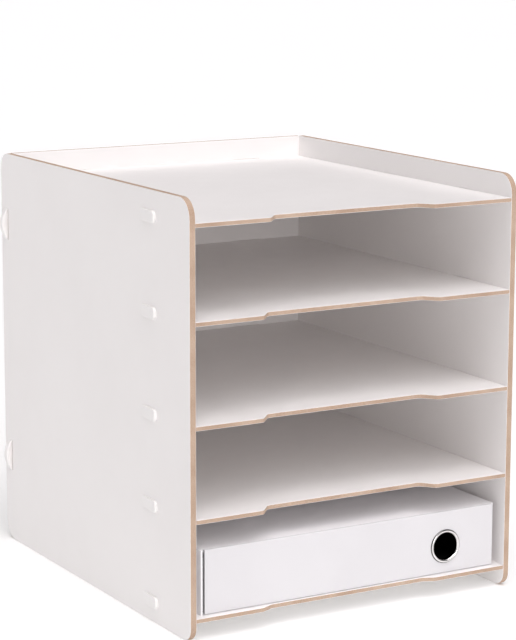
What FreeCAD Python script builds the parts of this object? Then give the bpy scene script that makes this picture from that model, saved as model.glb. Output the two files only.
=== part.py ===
import FreeCAD, Part
import math
import os
import re
import Sketcher

# Desk sorter for envelopes and sheets, built from thin boards that plug together, with a drawer
# in a fixed sleeve on its lowest shelf.
# Frame: X to the right, Y to the back, Z up. The origin is at the bottom centre.

# Driving dimensions in millimetres.
SIZES = {
    # boards of the sorter
    "bay_width": 328,
    "panel_depth": 390,
    "side_board": 6,
    "shelf_board": 4,
    "back_board": 4,
    # clear heights, from the rest surface up
    "foot_height": 17,
    "drawer_bay": 85,
    "lower_bay": 79,
    "middle_bay": 87,
    "upper_bay": 81,
    "lip_height": 21,
    # corners of the side panels
    "front_top_radius": 18,
    "rear_top_radius": 15,
    "rear_foot_radius": 20,
    "front_foot_radius": 13,
    # finger recess in the front edge of each shelf
    "recess_width": 161,
    "top_recess_width": 148,
    "recess_depth": 13,
    "bottom_recess_depth": 5,
    "recess_run": 11,
    "recess_offset": -5,
    "recess_radius": 6,
    # tab on each side of a shelf and the slot that takes it
    "tab_length": 17,
    "tab_setback": 75,
    "tab_proud": 0.6,
    "slot_clearance": 0.15,
    # tabs at the rear of a shelf
    "rear_tab_length": 30,
    "rear_tab_spacing": 200,
    # cap over the end of a shelf tab, thin at its rear and thick at its front
    "cap_length": 28,
    "cap_height": 11,
    "cap_proud": 2.8,
    "cap_tail": 1.2,
    "cap_corner": 4,
    "cap_round": 1,
    # back panel
    "back_inset": 10.5,
    "back_foot_gap": 6,
    # half-moon clips that hold the side panels to the back panel
    "clip_height": 31,
    "clip_proud": 5.5,
    "clip_depth": 7,
    "clip_round": 1,
    "tongue_height": 30,
    "tongue_reach": 12,
    "clip_gap": 1.5,
    "groove_height": 10,
    "groove_width": 1.2,
    "groove_depth": 0.8,
    "groove_offset": 1.6,
    "upper_clip_level": 320.5,
    "lower_clip_level": 87,
    # sleeve around the drawer
    "sleeve_board": 2,
    "lid_board": 3,
    "lid_overhang": 2.5,
    "sleeve_height": 59,
    "sleeve_setback": 7,
    "sleeve_left_gap": 8,
    "sleeve_right_gap": 8.5,
    # drawer
    "front_board": 3,
    "front_side_gap": 2,
    "front_back_gap": 0.4,
    "front_foot_gap": 0.6,
    "front_top_round": 1,
    "tray_board": 2,
    "tray_height": 48,
    "tray_slide_gap": 0.4,
    "tray_rear_gap": 3,
    # finger ring in the drawer front
    "ring_outer_radius": 16,
    "ring_hole_radius": 13,
    "ring_wall": 0.8,
    "ring_proud": 1.3,
    "ring_from_end": 53.4,
    "ring_drop": 4,
    "ring_clearance": 0.1,
    "washer_radius": 17,
    "washer_thickness": 1,
}

# Places and sizes worked out from the driving dimensions.
DERIVED = {
    "half_bay": "(bay_width / 2)",
    "half_width": "(half_bay + side_board)",
    "front": "(-panel_depth / 2)",
    "rear": "(panel_depth / 2)",
    "back_face": "(rear - back_inset - back_board)",
    "bottom_level": "foot_height",
    "lower_level": "(bottom_level + shelf_board + drawer_bay)",
    "middle_level": "(lower_level + shelf_board + lower_bay)",
    "upper_level": "(middle_level + shelf_board + middle_bay)",
    "top_level": "(upper_level + shelf_board + upper_bay)",
    "panel_height": "(top_level + shelf_board + lip_height)",
    "tab_front": "(front + tab_setback - tab_length / 2)",
    "tab_rear": "(front + tab_setback + tab_length / 2)",
    "tab_end": "(half_width + tab_proud)",
    "rear_tab_inner": "((rear_tab_spacing - rear_tab_length) / 2)",
    "rear_tab_outer": "((rear_tab_spacing + rear_tab_length) / 2)",
    "clip_radius": "((clip_height ^ 2 / 4 + clip_proud ^ 2) / (2 * clip_proud))",
    "tongue_half": "(tongue_height / 2)",
    "tongue_end": "(side_board + tongue_reach)",
    "sleeve_floor": "(foot_height + shelf_board)",
    "sleeve_top": "(sleeve_floor + sleeve_height)",
    "lid_foot": "(sleeve_top - lid_board)",
    "sleeve_left": "(-half_bay + sleeve_left_gap)",
    "sleeve_right": "(half_bay - sleeve_right_gap)",
    "sleeve_front": "(front + sleeve_setback)",
    "sleeve_edge": "(sleeve_front + front_board + front_back_gap)",
    "sleeve_inside": "(back_face - sleeve_board)",
    "front_left": "(sleeve_left + sleeve_board + front_side_gap)",
    "front_right": "sleeve_right",
    "front_foot": "(sleeve_floor + front_foot_gap)",
    "front_top": "sleeve_top",
    "front_back": "(sleeve_front + front_board)",
    "tray_foot": "(sleeve_floor + sleeve_board + tray_slide_gap)",
    "tray_right": "(sleeve_right - sleeve_board - front_side_gap)",
    "tray_rear": "(sleeve_inside - tray_rear_gap)",
    "ring_barrel_radius": "(ring_hole_radius + ring_wall)",
    "ring_x": "(front_right - ring_from_end)",
    "ring_z": "((front_foot + front_top) / 2 - ring_drop)",
    "ring_length": "(front_board + washer_thickness)",
}

SHELVES = {
    "bottom": "bottom_level",
    "lower": "lower_level",
    "middle": "middle_level",
    "upper": "upper_level",
    "top": "top_level",
}

RECESSES = {
    "bottom": ("recess_width", "bottom_recess_depth"),
    "lower": ("recess_width", "recess_depth"),
    "middle": ("recess_width", "recess_depth"),
    "upper": ("recess_width", "recess_depth"),
    "top": ("top_recess_width", "recess_depth"),
}

CLIPS = {
    "lower": "lower_clip_level",
    "upper": "upper_clip_level",
}

document = FreeCAD.newDocument("EnvelopeSorter")
sheet = document.addObject("Spreadsheet::Sheet", "Sizes")
for row, (alias, size) in enumerate(SIZES.items(), start=1):
    sheet.set("A%d" % row, alias)
    sheet.set("B%d" % row, str(size))
    sheet.setAlias("B%d" % row, alias)
document.recompute()

sub_parts = []


def cells(text):
    """The text as an expression on the sheet's cells, with derived names written out."""
    def swap(word):
        name = word.group()
        if name in DERIVED:
            return cells(DERIVED[name])
        return "Sizes." + name if name in SIZES else name
    return re.sub(r"[a-z_]+", swap, text)


def value(text):
    """The present value of a text of names, in millimetres."""
    return float(sheet.evalExpression(cells(text)))


def bind(thing, **texts):
    """Bind properties to the sheet; a double underscore in a key stands for a dot."""
    for key, text in texts.items():
        thing.setExpression(key.replace("__", "."), cells(text))


def place(thing, x="0", y="0", z="0", turn=None):
    """Bind the thing's position, with an optional fixed turn as (axis, degrees)."""
    if turn:
        thing.Placement = FreeCAD.Placement(FreeCAD.Vector(), FreeCAD.Rotation(*turn))
    bind(thing, Placement__Base__x=x, Placement__Base__y=y, Placement__Base__z=z)


def new_body(label):
    body = document.addObject("PartDesign::Body", label)
    body.Label = label
    sub_parts.append(body)
    return body


def new_sketch(body, name, role):
    """A sketch on the body's own origin plane with the given role."""
    sketch = body.newObject("Sketcher::SketchObject", name)
    plane = next(item for item in body.Origin.OriginFeatures if item.Role == role)
    sketch.AttachmentSupport = [(plane, "")]
    sketch.MapMode = "FlatFace"
    return sketch


def dimension(sketch, kind, *where, text):
    """Add one sketch constraint whose value follows the sheet."""
    index = sketch.addConstraint(Sketcher.Constraint(kind, *where, value(text)))
    sketch.setExpression("Constraints[%d]" % index, cells(text))


def arc_between(start, end, radius):
    """A short arc, counter-clockwise from start to end."""
    middle = (start + end) / 2
    chord = end - start
    inward = FreeCAD.Vector(-chord.y, chord.x, 0) / chord.Length
    centre = middle + inward * math.sqrt(radius ** 2 - (chord.Length / 2) ** 2)
    angles = [math.atan2(point.y - centre.y, point.x - centre.x) for point in (start, end)]
    circle = Part.Circle(centre, FreeCAD.Vector(0, 0, 1), radius)
    return Part.ArcOfCircle(circle, *angles)


def outline(sketch, corners, arcs=()):
    """A closed outline through corners, counter-clockwise; `arcs` maps a side's number to its radius."""
    arcs = dict(arcs)
    points = [FreeCAD.Vector(value(x), value(y), 0) for x, y in corners]
    first = sketch.GeometryCount
    count = len(corners)
    for side, start in enumerate(points):
        end = points[(side + 1) % count]
        if side in arcs:
            sketch.addGeometry(arc_between(start, end, value(arcs[side])))
        else:
            sketch.addGeometry(Part.LineSegment(start, end))
    for side, (x, y) in enumerate(corners):
        following = first + (side + 1) % count
        sketch.addConstraint(Sketcher.Constraint("Coincident", first + side, 2, following, 1))
        dimension(sketch, "DistanceX", -1, 1, first + side, 1, text=x)
        dimension(sketch, "DistanceY", -1, 1, first + side, 1, text=y)
    for side, radius in arcs.items():
        dimension(sketch, "Radius", first + side, text=radius)


def rectangle(sketch, left, right, low, high):
    outline(sketch, [(left, low), (right, low), (right, high), (left, high)])


def pad(body, sketch, name, thickness):
    feature = body.newObject("PartDesign::Pad", name)
    feature.Profile = sketch
    bind(feature, Length=thickness)
    document.recompute()
    return feature


def straight_edges(shape, direction, spots):
    """Names of the straight edges that lie along a direction and pass through the spots."""
    found = []
    for spot in spots:
        probe = Part.Vertex(FreeCAD.Vector(*spot))
        for number, edge in enumerate(shape.Edges, start=1):
            if not isinstance(edge.Curve, Part.Line) or edge.distToShape(probe)[0] > 0.001:
                continue
            if abs(edge.tangentAt(edge.FirstParameter).dot(direction)) > 0.999:
                found.append("Edge%d" % number)
    return found


def fillet(body, base, name, edges, radius):
    feature = body.newObject("PartDesign::Fillet", name)
    feature.Base = (base, edges)
    bind(feature, Radius=radius)
    document.recompute()
    return feature


def board(label, x, y, z):
    """A plain board; each argument is a pair of its low and high side."""
    box = document.addObject("Part::Box", label)
    box.Label = label
    sub_parts.append(box)
    spans = {"Length": x, "Width": y, "Height": z}
    bind(box, **{side: "(%s) - (%s)" % (high, low) for side, (low, high) in spans.items()})
    place(box, x[0], y[0], z[0])
    return box


# Side panels: the same board on both sides, with a slot for each tab that passes through it.
def side_panel(label, x):
    body = new_body(label)
    sketch = new_sketch(body, label + "_outline", "YZ_Plane")
    rectangle(sketch, "front", "rear", "0", "panel_height")
    for level in SHELVES.values():
        rectangle(sketch, "tab_front - slot_clearance", "tab_rear + slot_clearance",
                  level + " - slot_clearance", level + " + shelf_board + slot_clearance")
    for level in CLIPS.values():
        rectangle(sketch, "back_face - clip_gap", "back_face + back_board + slot_clearance",
                  level + " - tongue_half - slot_clearance",
                  level + " + tongue_half + slot_clearance")
    feature = pad(body, sketch, label + "_board", "side_board")
    corners = {
        "front_top_radius": ("front", "panel_height"),
        "rear_top_radius": ("rear", "panel_height"),
        "rear_foot_radius": ("rear", "0"),
        "front_foot_radius": ("front", "0"),
    }
    for radius, (y, z) in corners.items():
        spot = (value("side_board / 2"), value(y), value(z))
        edges = straight_edges(feature.Shape, FreeCAD.Vector(1, 0, 0), [spot])
        feature = fillet(body, feature, label + "_" + radius, edges, radius)
    place(body, x=x)


# Shelves: side tabs pass through the side panels, rear tabs end level with the back panel's rear.
def shelf(name, level):
    label = name + "_shelf"
    body = new_body(label)
    sketch = new_sketch(body, label + "_outline", "XY_Plane")
    width, depth = RECESSES[name]
    right_end, left_end = ("recess_offset %s %s / 2" % (sign, width) for sign in "+-")
    recess = [
        (left_end + " - recess_run", "front"),
        (left_end, "front + " + depth),
        (right_end, "front + " + depth),
        (right_end + " + recess_run", "front"),
    ]
    right_side = [
        ("half_bay", "front"),
        ("half_bay", "tab_front"),
        ("tab_end", "tab_front"),
        ("tab_end", "tab_rear"),
        ("half_bay", "tab_rear"),
        ("half_bay", "back_face"),
        ("rear_tab_outer", "back_face"),
        ("rear_tab_outer", "back_face + back_board"),
        ("rear_tab_inner", "back_face + back_board"),
        ("rear_tab_inner", "back_face"),
    ]
    left_side = [("-(%s)" % x, y) for x, y in reversed(right_side)]
    outline(sketch, recess + right_side + left_side)
    feature = pad(body, sketch, label + "_board", "shelf_board")
    middle = value("shelf_board / 2")
    spots = [(value(x), value(y), middle) for x, y in recess]
    edges = straight_edges(feature.Shape, FreeCAD.Vector(0, 0, 1), spots)
    fillet(body, feature, label + "_recess", edges, "recess_radius")
    place(body, z=level)


# Back panel: notches in its sides take the clips' tongues, and slots take the shelves' rear tabs.
def back_panel():
    body = new_body("back_panel")
    sketch = new_sketch(body, "back_outline", "XZ_Plane")
    notch = "(half_bay - tongue_reach - slot_clearance)"
    right_side = [("half_bay", "back_foot_gap")]
    for level in CLIPS.values():
        low = level + " - tongue_half - slot_clearance"
        high = level + " + tongue_half + slot_clearance"
        right_side += [("half_bay", low), (notch, low), (notch, high), ("half_bay", high)]
    right_side += [("half_bay", "panel_height")]
    left_side = [("-(%s)" % x, z) for x, z in reversed(right_side)]
    outline(sketch, right_side + left_side)
    for level in SHELVES.values():
        for sign in ("", "-"):
            ends = sorted([sign + "(rear_tab_inner - slot_clearance)",
                           sign + "(rear_tab_outer + slot_clearance)"], key=value)
            rectangle(sketch, *ends, level + " - slot_clearance",
                      level + " + shelf_board + slot_clearance")
    pad(body, sketch, "back_board_pad", "back_board")
    place(body, y="back_face + back_board")


# Half-moon clip: its head lies on the side panel, its tongue reaches through into the back panel.
# It faces +X before it is turned.
def clip(label, level, x, turn):
    body = new_body(label)
    head_sketch = new_sketch(body, label + "_head_outline", "XZ_Plane")
    outline(head_sketch, [("0", "-clip_height / 2"), ("0", "clip_height / 2")],
            {0: "clip_radius"})
    head = pad(body, head_sketch, label + "_head", "clip_depth")
    head.Reversed = True
    document.recompute()
    rim = ["Edge%d" % number for number, edge in enumerate(head.Shape.Edges, start=1)
           if isinstance(edge.Curve, Part.Circle)]
    fillet(body, head, label + "_rim", rim, "clip_round")
    groove_sketch = new_sketch(body, label + "_groove_outline", "XZ_Plane")
    rectangle(groove_sketch, "groove_offset", "groove_offset + groove_width",
              "-groove_height / 2", "groove_height / 2")
    groove = body.newObject("PartDesign::Pocket", label + "_groove")
    groove.Profile = groove_sketch
    bind(groove, Length="groove_depth")
    tongue_sketch = new_sketch(body, label + "_tongue_outline", "XZ_Plane")
    rectangle(tongue_sketch, "-tongue_end", "0", "-tongue_half", "tongue_half")
    tongue = pad(body, tongue_sketch, label + "_tongue", "back_board")
    tongue.Reversed = True
    document.recompute()
    place(body, x, "back_face", level, turn)


# Cap over a shelf tab's end, with a blind pocket for the tab. It faces +X before it is turned.
def tab_cap(label, level, x, turn):
    body = new_body(label)
    sketch = new_sketch(body, label + "_outline", "YZ_Plane")
    rectangle(sketch, "-cap_length / 2", "cap_length / 2", "-cap_height / 2", "cap_height / 2")
    feature = pad(body, sketch, label + "_pad", "cap_proud")
    half_length, half_height = value("cap_length / 2"), value("cap_height / 2")
    spots = [(value("cap_proud / 2"), y, z) for y in (-half_length, half_length)
             for z in (-half_height, half_height)]
    edges = straight_edges(feature.Shape, FreeCAD.Vector(1, 0, 0), spots)
    fillet(body, feature, label + "_corners", edges, "cap_corner")
    slope_sketch = new_sketch(body, label + "_slope_outline", "XY_Plane")
    outline(slope_sketch, [("cap_tail", "cap_length / 2"), ("cap_proud", "-cap_length / 2"),
                           ("2 * cap_proud", "-cap_length / 2"), ("2 * cap_proud", "cap_length / 2")])
    feature = body.newObject("PartDesign::Pocket", label + "_slope")
    feature.Profile = slope_sketch
    feature.SideType = "Symmetric"
    bind(feature, Length="2 * cap_height")
    document.recompute()
    outer = max(feature.Shape.Faces, key=lambda face: face.CenterOfMass.x)
    rim = ["Edge%d" % number for number, edge in enumerate(feature.Shape.Edges, start=1)
           if any(edge.isSame(side) for side in outer.Edges)]
    fillet(body, feature, label + "_rim", rim, "cap_round")
    pocket_sketch = new_sketch(body, label + "_pocket_outline", "YZ_Plane")
    rectangle(pocket_sketch, "-tab_length / 2 - slot_clearance", "tab_length / 2 + slot_clearance",
              "-shelf_board / 2 - slot_clearance", "shelf_board / 2 + slot_clearance")
    pocket = body.newObject("PartDesign::Pocket", label + "_pocket")
    pocket.Profile = pocket_sketch
    pocket.Reversed = True
    bind(pocket, Length="tab_proud + slot_clearance")
    document.recompute()
    place(body, x, "front + tab_setback", level + " + shelf_board / 2", turn)


# Sleeve: five boards on the bottom shelf. Its left wall comes forward level with the drawer front,
# which covers the ends of its right wall and its lid.
def sleeve():
    between = ("sleeve_left + sleeve_board", "sleeve_right - sleeve_board")
    behind_front = ("sleeve_edge", "back_face")
    board("sleeve_left_wall", ("sleeve_left", between[0]), ("sleeve_front", "back_face"),
          ("sleeve_floor", "sleeve_top"))
    board("sleeve_right_wall", (between[1], "sleeve_right"), behind_front,
          ("sleeve_floor", "lid_foot"))
    board("sleeve_base", between, behind_front, ("sleeve_floor", "sleeve_floor + sleeve_board"))
    board("sleeve_top", (between[0], "sleeve_right + lid_overhang"), behind_front,
          ("lid_foot", "sleeve_top"))
    board("sleeve_back_wall", between, ("sleeve_inside", "back_face"),
          ("sleeve_floor + sleeve_board", "lid_foot"))


# Drawer front: its top edge is rounded and level with the lid, and its round hole takes the
# finger ring.
def drawer_front():
    body = new_body("drawer_front")
    sketch = new_sketch(body, "front_outline", "XZ_Plane")
    rectangle(sketch, "front_left", "front_right", "front_foot", "front_top")
    hole = sketch.addGeometry(Part.Circle(FreeCAD.Vector(value("ring_x"), value("ring_z"), 0),
                                          FreeCAD.Vector(0, 0, 1), value("ring_barrel_radius")))
    dimension(sketch, "DistanceX", -1, 1, hole, 3, text="ring_x")
    dimension(sketch, "DistanceY", -1, 1, hole, 3, text="ring_z")
    dimension(sketch, "Radius", hole, text="ring_barrel_radius + ring_clearance")
    feature = pad(body, sketch, "front_pad", "front_board")
    spot = (value("front_left + front_board"), -value("front_board"), value("front_top"))
    edges = straight_edges(feature.Shape, FreeCAD.Vector(1, 0, 0), [spot])
    fillet(body, feature, "front_top_edge", edges, "front_top_round")
    place(body, y="front_back")


# Tray behind the drawer front, glued up from boards around its floor.
def drawer_tray():
    inside = ("front_left + tray_board", "tray_right - tray_board")
    depth = ("front_back", "tray_rear")
    height = ("tray_foot", "tray_foot + tray_height")
    board("drawer_left_wall", ("front_left", inside[0]), depth, height)
    board("drawer_right_wall", (inside[1], "tray_right"), depth, height)
    board("drawer_floor", inside, depth, ("tray_foot", "tray_foot + tray_board"))
    board("drawer_back_wall", inside, ("tray_rear - tray_board", "tray_rear"),
          ("tray_foot + tray_board", "tray_foot + tray_height"))


# Finger ring: a domed flange and a barrel, turned about the hole's axis, which is Z before the turn.
def finger_ring():
    body = new_body("finger_ring")
    sketch = new_sketch(body, "ring_profile", "XZ_Plane")
    corners = [
        ("ring_hole_radius", "-ring_length"),
        ("ring_barrel_radius", "-ring_length"),
        ("ring_barrel_radius", "0"),
        ("ring_outer_radius", "0"),
        ("ring_outer_radius", "ring_proud / 4"),
        ("ring_hole_radius", "ring_proud / 4"),
    ]
    dome_radius = "(((ring_outer_radius - ring_hole_radius) ^ 2 / 4 + (ring_proud * 3 / 4) ^ 2)" \
                  " / (2 * ring_proud * 3 / 4))"
    outline(sketch, corners, {4: dome_radius})
    turned = body.newObject("PartDesign::Revolution", "ring_turned")
    turned.Profile = sketch
    turned.ReferenceAxis = (sketch, ["V_Axis"])
    turned.Angle = 360
    document.recompute()
    place(body, "ring_x", "sleeve_front", "ring_z", (FreeCAD.Vector(1, 0, 0), 90))


# Flat washer that holds the ring's barrel at the inside of the drawer front.
def ring_washer():
    body = new_body("ring_washer")
    sketch = new_sketch(body, "washer_outline", "XY_Plane")
    for radius in ("washer_radius", "ring_barrel_radius + ring_clearance"):
        circle = Part.Circle(FreeCAD.Vector(), FreeCAD.Vector(0, 0, 1), value(radius))
        index = sketch.addGeometry(circle)
        sketch.addConstraint(Sketcher.Constraint("Coincident", index, 3, -1, 1))
        dimension(sketch, "Radius", index, text=radius)
    pad(body, sketch, "washer_pad", "washer_thickness")
    place(body, "ring_x", "front_back + washer_thickness", "ring_z", (FreeCAD.Vector(1, 0, 0), 90))


FLIP = (FreeCAD.Vector(0, 1, 0), 180)

side_panel("left_side_panel", "-half_width")
side_panel("right_side_panel", "half_bay")
for shelf_name, shelf_level in SHELVES.items():
    shelf(shelf_name, shelf_level)
    tab_cap("left_cap_" + shelf_name, shelf_level, "-half_width", FLIP)
    tab_cap("right_cap_" + shelf_name, shelf_level, "half_width", None)
back_panel()
for clip_name, clip_level in CLIPS.items():
    clip("left_clip_" + clip_name, clip_level, "-half_width", FLIP)
    clip("right_clip_" + clip_name, clip_level, "half_width", None)
sleeve()
drawer_front()
drawer_tray()
finger_ring()
ring_washer()
document.recompute()

for item in document.Objects:
    if "Invalid" in item.State or "Error" in item.State:
        raise RuntimeError("%s failed: %s" % (item.Label, item.State))
for item in sub_parts:
    if item.Shape.isNull() or not item.Shape.isValid() or len(item.Shape.Solids) != 1:
        raise RuntimeError("%s is not one valid solid" % item.Label)

os.makedirs("parts", exist_ok=True)
for item in sub_parts:
    item.Shape.exportStep("parts/%s.step" % item.Label)
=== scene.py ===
import math

import bpy
from mathutils import Matrix, Vector


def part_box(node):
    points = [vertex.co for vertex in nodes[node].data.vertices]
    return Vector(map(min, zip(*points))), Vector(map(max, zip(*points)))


# An envelope sorter of thin white-faced boards, with a drawer in a sleeve at its foot.
# Lengths are in metres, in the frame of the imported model: X to the right, Y back, Z up.

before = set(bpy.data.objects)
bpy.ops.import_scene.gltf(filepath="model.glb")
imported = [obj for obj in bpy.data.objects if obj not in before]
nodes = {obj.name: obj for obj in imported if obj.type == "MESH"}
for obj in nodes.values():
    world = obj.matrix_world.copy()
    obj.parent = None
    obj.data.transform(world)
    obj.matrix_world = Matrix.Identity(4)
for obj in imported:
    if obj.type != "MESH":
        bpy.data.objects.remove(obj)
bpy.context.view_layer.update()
X, Y, Z = range(3)

# Camera: its place, its angles in degrees, and its lens.
CAMERA_PLACE = (-1.0786, -1.8786, 0.6519)
CAMERA_YAW = 30.092
CAMERA_PITCH = 10.803
CAMERA_ROLL = 0.117
LENS_MM = 129.3
SENSOR_MM = 36

# Skins of the boards. A skin gives way to the board's middle between these shares of its
# thickness.
FACING_THICKNESS = 0.00030
PAPER_THICKNESS = 0.00025
SKIN_FADE = (0.35, 0.65)

# Rounding of the boards' edges.
BOARD_BEVEL = 0.00030
CARD_BEVEL = 0.00030
BEVEL_SEGMENTS = 2
WELD = 0.00001
FLAT = math.radians(1)
CREASE = math.radians(35)
FACE_WEIGHT = 100

# Linear colours, in pairs that a finish drifts between.
FACING_WHITES = ((0.872, 0.854, 0.845), (0.854, 0.835, 0.826))
CORE_TANS = ((0.385, 0.262, 0.185), (0.540, 0.408, 0.312))
PAPER_WHITES = ((0.692, 0.685, 0.700), (0.673, 0.665, 0.680))
SLEEVE_WHITES = ((0.870, 0.860, 0.872), (0.850, 0.840, 0.852))
# Black lining paper of the drawer; on the sleeve's inner faces the same black is painted shade in the
# gap beside the drawer front.
LINING_AND_SHADE_BLACKS = ((0.024, 0.021, 0.020), (0.060, 0.055, 0.054))
PLASTIC_WHITES = ((0.880, 0.864, 0.854), (0.862, 0.846, 0.836))
METALS = ((0.830, 0.820, 0.812), (0.700, 0.690, 0.682))
# Painted dark reflection on the finger ring's outer rim.
RIM_PAINTED_REFLECTION = (0.150, 0.148, 0.146)
# Painted black shade in the finger ring's barrel.
BARREL_PAINTED_SHADE = (0.040, 0.038, 0.037)
FLOOR_WHITES = ((0.915, 0.920, 0.918), (0.905, 0.910, 0.908))

# Roughness, from the lowest to the highest of a finish.
FACING_ROUGHNESS = (0.40, 0.56)
CORE_ROUGHNESS = (0.80, 0.92)
PAPER_ROUGHNESS = (0.50, 0.64)
LINING_ROUGHNESS = (0.66, 0.82)
PLASTIC_ROUGHNESS = (0.34, 0.44)
METAL_ROUGHNESS = (0.10, 0.22)
FLOOR_ROUGHNESS = (0.75, 0.90)

# Marks of each finish, per metre.
FACING_DRIFT = 7
FACING_RUBS = 45
FACING_PEEL = 650
CORE_FIBRES = 2200
CORE_DRIFT = 30
PAPER_TOOTH = 1800
PAPER_DRIFT = 18
LINING_FLECKS = 1500
SKIN_FRAY = 900
PLASTIC_GRAIN = 3200
PLASTIC_DRIFT = 120
POLISHING_MARKS = 3500
METAL_CLOUDS = 160
FLOOR_GRAIN = 300
FLOOR_DRIFT = 3

# How far long marks are drawn out along X, Y and Z.
FIBRE_STRETCH = (3, 3, 1)
POLISHING_STRETCH = (1, 6, 1)

# Octaves of a noise.
SMOOTH = 2
MEDIUM = 3
CRISP = 4

# Stretches of a noise's values over which a finish turns from one state to the other.
NOISE_SPAN = (0.3, 0.7)
RUB_SPAN = (0.3, 0.75)
CORE_SPAN = (0.55, 1.2)
FLECK_SPAN = (0.45, 0.75)
CLOUD_SPAN = (0.35, 0.7)
CORE_DRIFT_SHARE = 0.8

# Height of each finish's relief.
BOARD_RELIEF = 0.00003
CARD_RELIEF = 0.00002
PLASTIC_RELIEF = 0.00001
METAL_RELIEF = 0.000004
FLOOR_RELIEF = 0.00005

# Finger ring. Its rim is bright up to the first distance inside its outer edge, and carries a
# painted dark reflection from the second. Its barrel is bright down to the first depth behind
# its front, and is painted black as shade from the second.
RIM_REFLECTION_FADE = (0.0009, 0.0005)
BARREL_SHADE_FADE = (0.0009, 0.0012)

# Light: one colour, a bright horizon under a dim sky, the heights between which one turns into
# the other, and wide suns. A sun's azimuth, height and breadth are in degrees, and its azimuth
# is 0 at the front and positive to the right.
LIGHT = (1.0, 0.970, 0.980)
HORIZON_STRENGTH = 1.05
SKY_STRENGTH = 0.17
HORIZON_TOP = math.radians(7)
SKY_START = math.radians(11)
SUNS = {
    "low_front": {"azimuth": -8, "height": 8, "breadth": 28, "strength": 0.62},
    "high_front": {"azimuth": -15, "height": 54, "breadth": 50, "strength": 1.50},
    "ceiling": {"azimuth": -24, "height": 80, "breadth": 60, "strength": 1.36},
}
DIFFUSE_BOUNCES = 10

# Floor: a wide disc just under the feet, which glows a little.
FLOOR_RADIUS = 60
FLOOR_DROP = 0.0002
FLOOR_SIDES = 96
FLOOR_GLOW = 0.12


class Shader:
    """A material in the making, with short calls for the nodes that it uses."""

    def __init__(self, name):
        self.material = bpy.data.materials.new(name)
        self.material.use_nodes = True
        self.tree = self.material.node_tree
        self.surface = self.tree.nodes["Principled BSDF"]
        self.place = self.put("ShaderNodeTexCoord").outputs["Object"]

    def put(self, kind, **settings):
        node = self.tree.nodes.new(kind)
        for key, value in settings.items():
            setattr(node, key, value)
        return node

    def feed(self, socket, value):
        """Link a socket to the value, or set it where the value is a number or a colour."""
        if isinstance(value, bpy.types.NodeSocket):
            self.tree.links.new(value, socket)
        elif isinstance(value, tuple) and socket.type == "RGBA":
            socket.default_value = (*value, 1)
        else:
            socket.default_value = value

    def math(self, operation, first, second=0.0):
        node = self.put("ShaderNodeMath", operation=operation)
        self.feed(node.inputs[0], first)
        self.feed(node.inputs[1], second)
        return node.outputs[0]

    def noise(self, marks, octaves=MEDIUM, stretch=(1, 1, 1)):
        """Noise with so many marks per metre, drawn out along each axis by its stretch."""
        mapping = self.put("ShaderNodeMapping")
        self.feed(mapping.inputs["Vector"], self.place)
        mapping.inputs["Scale"].default_value = [marks / factor for factor in stretch]
        node = self.put("ShaderNodeTexNoise")
        self.feed(node.inputs["Vector"], mapping.outputs[0])
        node.inputs["Scale"].default_value = 1
        node.inputs["Detail"].default_value = octaves
        return node.outputs["Fac"]

    def remap(self, value, span, ends=(0.0, 1.0)):
        """Turn a value that crosses the span into one that goes from end to end."""
        node = self.put("ShaderNodeMapRange", interpolation_type="SMOOTHSTEP")
        for socket, number in zip(node.inputs, (value, *span, *ends)):
            self.feed(socket, number)
        return node.outputs[0]

    def mix(self, kind, share, first, second):
        """Mix of colours (RGBA) or numbers (FLOAT)."""
        node = self.put("ShaderNodeMix", data_type=kind)
        for name, value in (("Factor", share), ("A", first), ("B", second)):
            socket = next(s for s in node.inputs if s.name == name and s.enabled)
            self.feed(socket, value)
        return next(s for s in node.outputs if s.enabled)

    def coordinate(self, axis):
        node = self.put("ShaderNodeSeparateXYZ")
        self.feed(node.inputs[0], self.place)
        return node.outputs[axis]

    def close(self, finish, distance):
        """Link a colour, a roughness and a height, whose 1 is that distance, and end."""
        colour, roughness, height = finish
        relief = self.put("ShaderNodeBump")
        relief.inputs["Distance"].default_value = distance
        self.feed(relief.inputs["Height"], height)
        self.feed(self.surface.inputs["Base Color"], colour)
        self.feed(self.surface.inputs["Roughness"], roughness)
        self.feed(self.surface.inputs["Normal"], relief.outputs[0])
        return self.material


# Finishes. Each returns a colour, a roughness and a height between 0 and 1.
def facing(shader):
    """Satin white foil: slow drift in tone, faint orange peel, a few rubbed patches."""
    drift = shader.remap(shader.noise(FACING_DRIFT), NOISE_SPAN)
    colour = shader.mix("RGBA", drift, *FACING_WHITES)
    roughness = shader.remap(shader.noise(FACING_RUBS, CRISP), RUB_SPAN, FACING_ROUGHNESS)
    return colour, roughness, shader.noise(FACING_PEEL, SMOOTH)


def core(shader):
    """Raw fibreboard edge: short fibres, darker specks, a drift along the cut."""
    fibres = shader.noise(CORE_FIBRES, CRISP, FIBRE_STRETCH)
    drift = shader.math("MULTIPLY", shader.noise(CORE_DRIFT, SMOOTH), CORE_DRIFT_SHARE)
    tone = shader.remap(shader.math("ADD", fibres, drift), CORE_SPAN)
    colour = shader.mix("RGBA", tone, *CORE_TANS)
    roughness = shader.remap(fibres, NOISE_SPAN, CORE_ROUGHNESS)
    return colour, roughness, fibres


def paper(shader, whites=PAPER_WHITES):
    """White covering paper: fine tooth and a slow drift in tone."""
    tooth = shader.noise(PAPER_TOOTH)
    drift = shader.remap(shader.noise(PAPER_DRIFT), NOISE_SPAN)
    colour = shader.mix("RGBA", drift, *whites)
    roughness = shader.remap(tooth, NOISE_SPAN, PAPER_ROUGHNESS)
    return colour, roughness, tooth


def pale_paper(shader):
    return paper(shader, SLEEVE_WHITES)


def black_lining_and_shade(shader):
    """Black lining paper with grey flecks: the drawer's lining, and painted shade on the sleeve's
    inner faces, which darkens the gap beside the drawer front.
    """
    flecks = shader.noise(LINING_FLECKS)
    colour = shader.mix("RGBA", shader.remap(flecks, FLECK_SPAN), *LINING_AND_SHADE_BLACKS)
    return colour, shader.remap(flecks, NOISE_SPAN, LINING_ROUGHNESS), flecks


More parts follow.
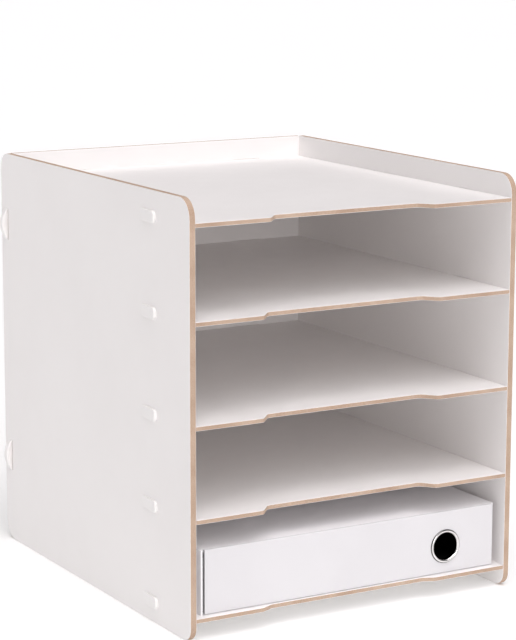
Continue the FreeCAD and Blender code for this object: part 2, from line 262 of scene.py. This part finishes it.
def steel(shader):
    """Plated steel: fine polishing marks and faint clouding."""
    shader.surface.inputs["Metallic"].default_value = 1
    marks = shader.noise(POLISHING_MARKS, MEDIUM, POLISHING_STRETCH)
    clouds = shader.noise(METAL_CLOUDS)
    colour = shader.mix("RGBA", shader.remap(clouds, CLOUD_SPAN), *METALS)
    roughness = shader.remap(clouds, NOISE_SPAN, METAL_ROUGHNESS)
    return colour, roughness, marks


def layered(shader, axis, node, skins, middle, thickness):
    """Finish of a board: its two skins, low side first, lie on its middle, across the axis."""
    low_face, high_face = (corner[axis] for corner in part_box(node))
    along = shader.coordinate(axis)
    fray = shader.math("MULTIPLY", shader.noise(SKIN_FRAY, SMOOTH), thickness)
    fade = [share * thickness for share in SKIN_FADE]
    result = middle(shader)
    made = {skin: skin(shader) for skin in dict.fromkeys(skins)}
    for skin, face, inward in zip(skins, (low_face, high_face), (1, -1)):
        depth = shader.math("MULTIPLY", shader.math("SUBTRACT", along, face), inward)
        depth = shader.math("SUBTRACT", depth, fray)
        cover = shader.remap(depth, fade, (1.0, 0.0))
        result = tuple(
            shader.mix(kind, cover, below, above)
            for kind, below, above in zip(("RGBA", "FLOAT", "FLOAT"), result, made[skin])
        )
    return result


# Materials.
def sorter_board(name, axis):
    """Fibreboard with a white facing on both sides."""
    shader = Shader("board_" + name)
    finish = layered(shader, axis, name, (facing, facing), core, FACING_THICKNESS)
    return shader.close(finish, BOARD_RELIEF)


def card_board(name, axis, skins):
    """Greyboard in its covering paper, which also wraps its edges."""
    shader = Shader("card_" + name)
    cover = next(skin for skin in skins if skin is not black_lining_and_shade)
    finish = layered(shader, axis, name, skins, cover, PAPER_THICKNESS)
    return shader.close(finish, CARD_RELIEF)


def plastic():
    """Moulded satin plastic for the caps and the clips."""
    shader = Shader("white_plastic")
    drift = shader.remap(shader.noise(PLASTIC_DRIFT, SMOOTH), NOISE_SPAN)
    colour = shader.mix("RGBA", drift, *PLASTIC_WHITES)
    grain = shader.noise(PLASTIC_GRAIN, SMOOTH)
    roughness = shader.remap(grain, NOISE_SPAN, PLASTIC_ROUGHNESS)
    return shader.close((colour, roughness, grain), PLASTIC_RELIEF)


def washer_metal():
    shader = Shader("washer_metal")
    return shader.close(steel(shader), METAL_RELIEF)


def ring_metal():
    """Plated steel, with a painted dark reflection on its outer rim and painted black shade in its
    barrel.
    """
    shader = Shader("ring_metal")
    colour, roughness, marks = steel(shader)
    low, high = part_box("finger_ring")
    across = [
        shader.math("SUBTRACT", shader.coordinate(axis), (low[axis] + high[axis]) / 2)
        for axis in (X, Z)
    ]
    squares = [shader.math("MULTIPLY", side, side) for side in across]
    radius = shader.math("SQRT", shader.math("ADD", *squares))
    ring_radius = (high[X] - low[X]) / 2
    # Painted dark reflection on the ring's outer rim.
    rim = shader.remap(radius, [ring_radius - inset for inset in RIM_REFLECTION_FADE])
    colour = shader.mix("RGBA", rim, colour, RIM_PAINTED_REFLECTION)
    # Painted black shade in the ring's barrel, where the finger hole is dark.
    barrel_shade = shader.remap(shader.coordinate(Y), [low[Y] + depth for depth in BARREL_SHADE_FADE])
    colour = shader.mix("RGBA", barrel_shade, colour, BARREL_PAINTED_SHADE)
    return shader.close((colour, roughness, marks), METAL_RELIEF)


def floor_material():
    """A matt white table that is lit a little from below, so that its shadows stay light."""
    shader = Shader("pale_floor")
    shader.surface.inputs["Emission Color"].default_value = (1, 1, 1, 1)
    shader.surface.inputs["Emission Strength"].default_value = FLOOR_GLOW
    drift = shader.remap(shader.noise(FLOOR_DRIFT), NOISE_SPAN)
    colour = shader.mix("RGBA", drift, *FLOOR_WHITES)
    grain = shader.noise(FLOOR_GRAIN)
    roughness = shader.remap(grain, NOISE_SPAN, FLOOR_ROUGHNESS)
    return shader.close((colour, roughness, grain), FLOOR_RELIEF)


# The object.
def dress(name, material):
    """Give a CAD node its only material."""
    mesh = nodes[name].data
    mesh.materials.clear()
    mesh.materials.append(material)


def soften(name, width):
    """Round a board's sharp edges a little, without moving its faces."""
    node = nodes[name]
    weld = node.modifiers.new("weld", "WELD")
    weld.merge_threshold = WELD
    clean = node.modifiers.new("clean", "DECIMATE")
    clean.decimate_type = "DISSOLVE"
    clean.angle_limit = FLAT
    bevel = node.modifiers.new("bevel", "BEVEL")
    bevel.width = width
    bevel.segments = BEVEL_SEGMENTS
    bevel.limit_method = "ANGLE"
    bevel.angle_limit = CREASE
    normals = node.modifiers.new("normals", "WEIGHTED_NORMAL")
    normals.weight = FACE_WEIGHT


def dress_sorter():
    thickness_axes = {"left_side_panel": X, "right_side_panel": X, "back_panel": Y}
    thickness_axes.update({name: Z for name in nodes if name.endswith("_shelf")})
    for name, axis in thickness_axes.items():
        dress(name, sorter_board(name, axis))
        soften(name, BOARD_BEVEL)
    white = plastic()
    for name in nodes:
        if "_cap_" in name or "_clip_" in name:
            dress(name, white)


def dress_sleeve_and_drawer():
    """Each board has its thickness axis and its skins on the low and the high side."""
    boards = {
        # The sleeve's black inner skins are painted shade, which darkens the gap beside the drawer
        # front; the drawer's black inner skins are its lining paper.
        "sleeve_left_wall": (X, (pale_paper, black_lining_and_shade)),
        "sleeve_right_wall": (X, (black_lining_and_shade, pale_paper)),
        "sleeve_base": (Z, (pale_paper, black_lining_and_shade)),
        "sleeve_top": (Z, (black_lining_and_shade, pale_paper)),
        "sleeve_back_wall": (Y, (black_lining_and_shade, pale_paper)),
        "drawer_front": (Y, (paper, black_lining_and_shade)),
        "drawer_left_wall": (X, (paper, black_lining_and_shade)),
        "drawer_right_wall": (X, (black_lining_and_shade, paper)),
        "drawer_floor": (Z, (paper, black_lining_and_shade)),
        "drawer_back_wall": (Y, (black_lining_and_shade, paper)),
    }
    for name, (axis, skins) in boards.items():
        dress(name, card_board(name, axis, skins))
        soften(name, CARD_BEVEL)
    dress("finger_ring", ring_metal())
    dress("ring_washer", washer_metal())


# The studio.
def make_floor():
    mesh = bpy.data.meshes.new("floor")
    rim = [
        (FLOOR_RADIUS * math.cos(turn), FLOOR_RADIUS * math.sin(turn), -FLOOR_DROP)
        for turn in (2 * math.pi * side / FLOOR_SIDES for side in range(FLOOR_SIDES))
    ]
    mesh.from_pydata(rim, [], [range(FLOOR_SIDES)])
    mesh.materials.append(floor_material())
    floor = bpy.data.objects.new("floor", mesh)
    bpy.context.scene.collection.objects.link(floor)


def make_sky():
    """A dim sky over a bright low band, which meets the far floor without a line."""
    world = bpy.data.worlds.new("studio")
    world.use_nodes = True
    tree = world.node_tree
    background = tree.nodes["Background"]
    background.inputs["Color"].default_value = (*LIGHT, 1)
    direction = tree.nodes.new("ShaderNodeTexCoord").outputs["Generated"]
    parts = tree.nodes.new("ShaderNodeSeparateXYZ")
    tree.links.new(direction, parts.inputs["Vector"])
    fade = tree.nodes.new("ShaderNodeMapRange")
    fade.interpolation_type = "SMOOTHSTEP"
    fade.inputs["From Min"].default_value = math.sin(HORIZON_TOP)
    fade.inputs["From Max"].default_value = math.sin(SKY_START)
    fade.inputs["To Min"].default_value = HORIZON_STRENGTH
    fade.inputs["To Max"].default_value = SKY_STRENGTH
    tree.links.new(parts.outputs["Z"], fade.inputs["Value"])
    tree.links.new(fade.outputs["Result"], background.inputs["Strength"])
    bpy.context.scene.world = world


def bearing(yaw, climb):
    """Unit vector at a yaw from +Y towards +X and a climb above the level."""
    return Vector((math.sin(yaw) * math.cos(climb), math.cos(yaw) * math.cos(climb), math.sin(climb)))


def soft_sun(name, azimuth, height, breadth, strength):
    light = bpy.data.lights.new(name, "SUN")
    light.color = LIGHT
    light.energy = strength
    light.angle = math.radians(breadth)
    lamp = bpy.data.objects.new(name, light)
    source = bearing(math.pi - math.radians(azimuth), math.radians(height))
    lamp.rotation_mode = "QUATERNION"
    lamp.rotation_quaternion = source.to_track_quat("Z", "Y")
    bpy.context.scene.collection.objects.link(lamp)


def make_camera():
    yaw, pitch, roll = (math.radians(a) for a in (CAMERA_YAW, CAMERA_PITCH, CAMERA_ROLL))
    ahead = bearing(yaw, -pitch)
    level = Vector((math.cos(yaw), -math.sin(yaw), 0))
    above = level.cross(ahead)
    right = level * math.cos(roll) + above * math.sin(roll)
    up = above * math.cos(roll) - level * math.sin(roll)
    camera = bpy.data.cameras.new("camera")
    camera.sensor_fit = "AUTO"
    camera.sensor_width = SENSOR_MM
    camera.lens = LENS_MM
    holder = bpy.data.objects.new("camera", camera)
    turn = Matrix((right, up, -ahead)).transposed().to_4x4()
    holder.matrix_world = Matrix.Translation(CAMERA_PLACE) @ turn
    bpy.context.scene.collection.objects.link(holder)
    bpy.context.scene.camera = holder


dress_sorter()
dress_sleeve_and_drawer()
make_floor()
make_sky()
for sun_name, sun in SUNS.items():
    soft_sun(sun_name, **sun)
make_camera()
bpy.context.scene.cycles.diffuse_bounces = DIFFUSE_BOUNCES
bpy.context.scene.view_settings.view_transform = "Standard"
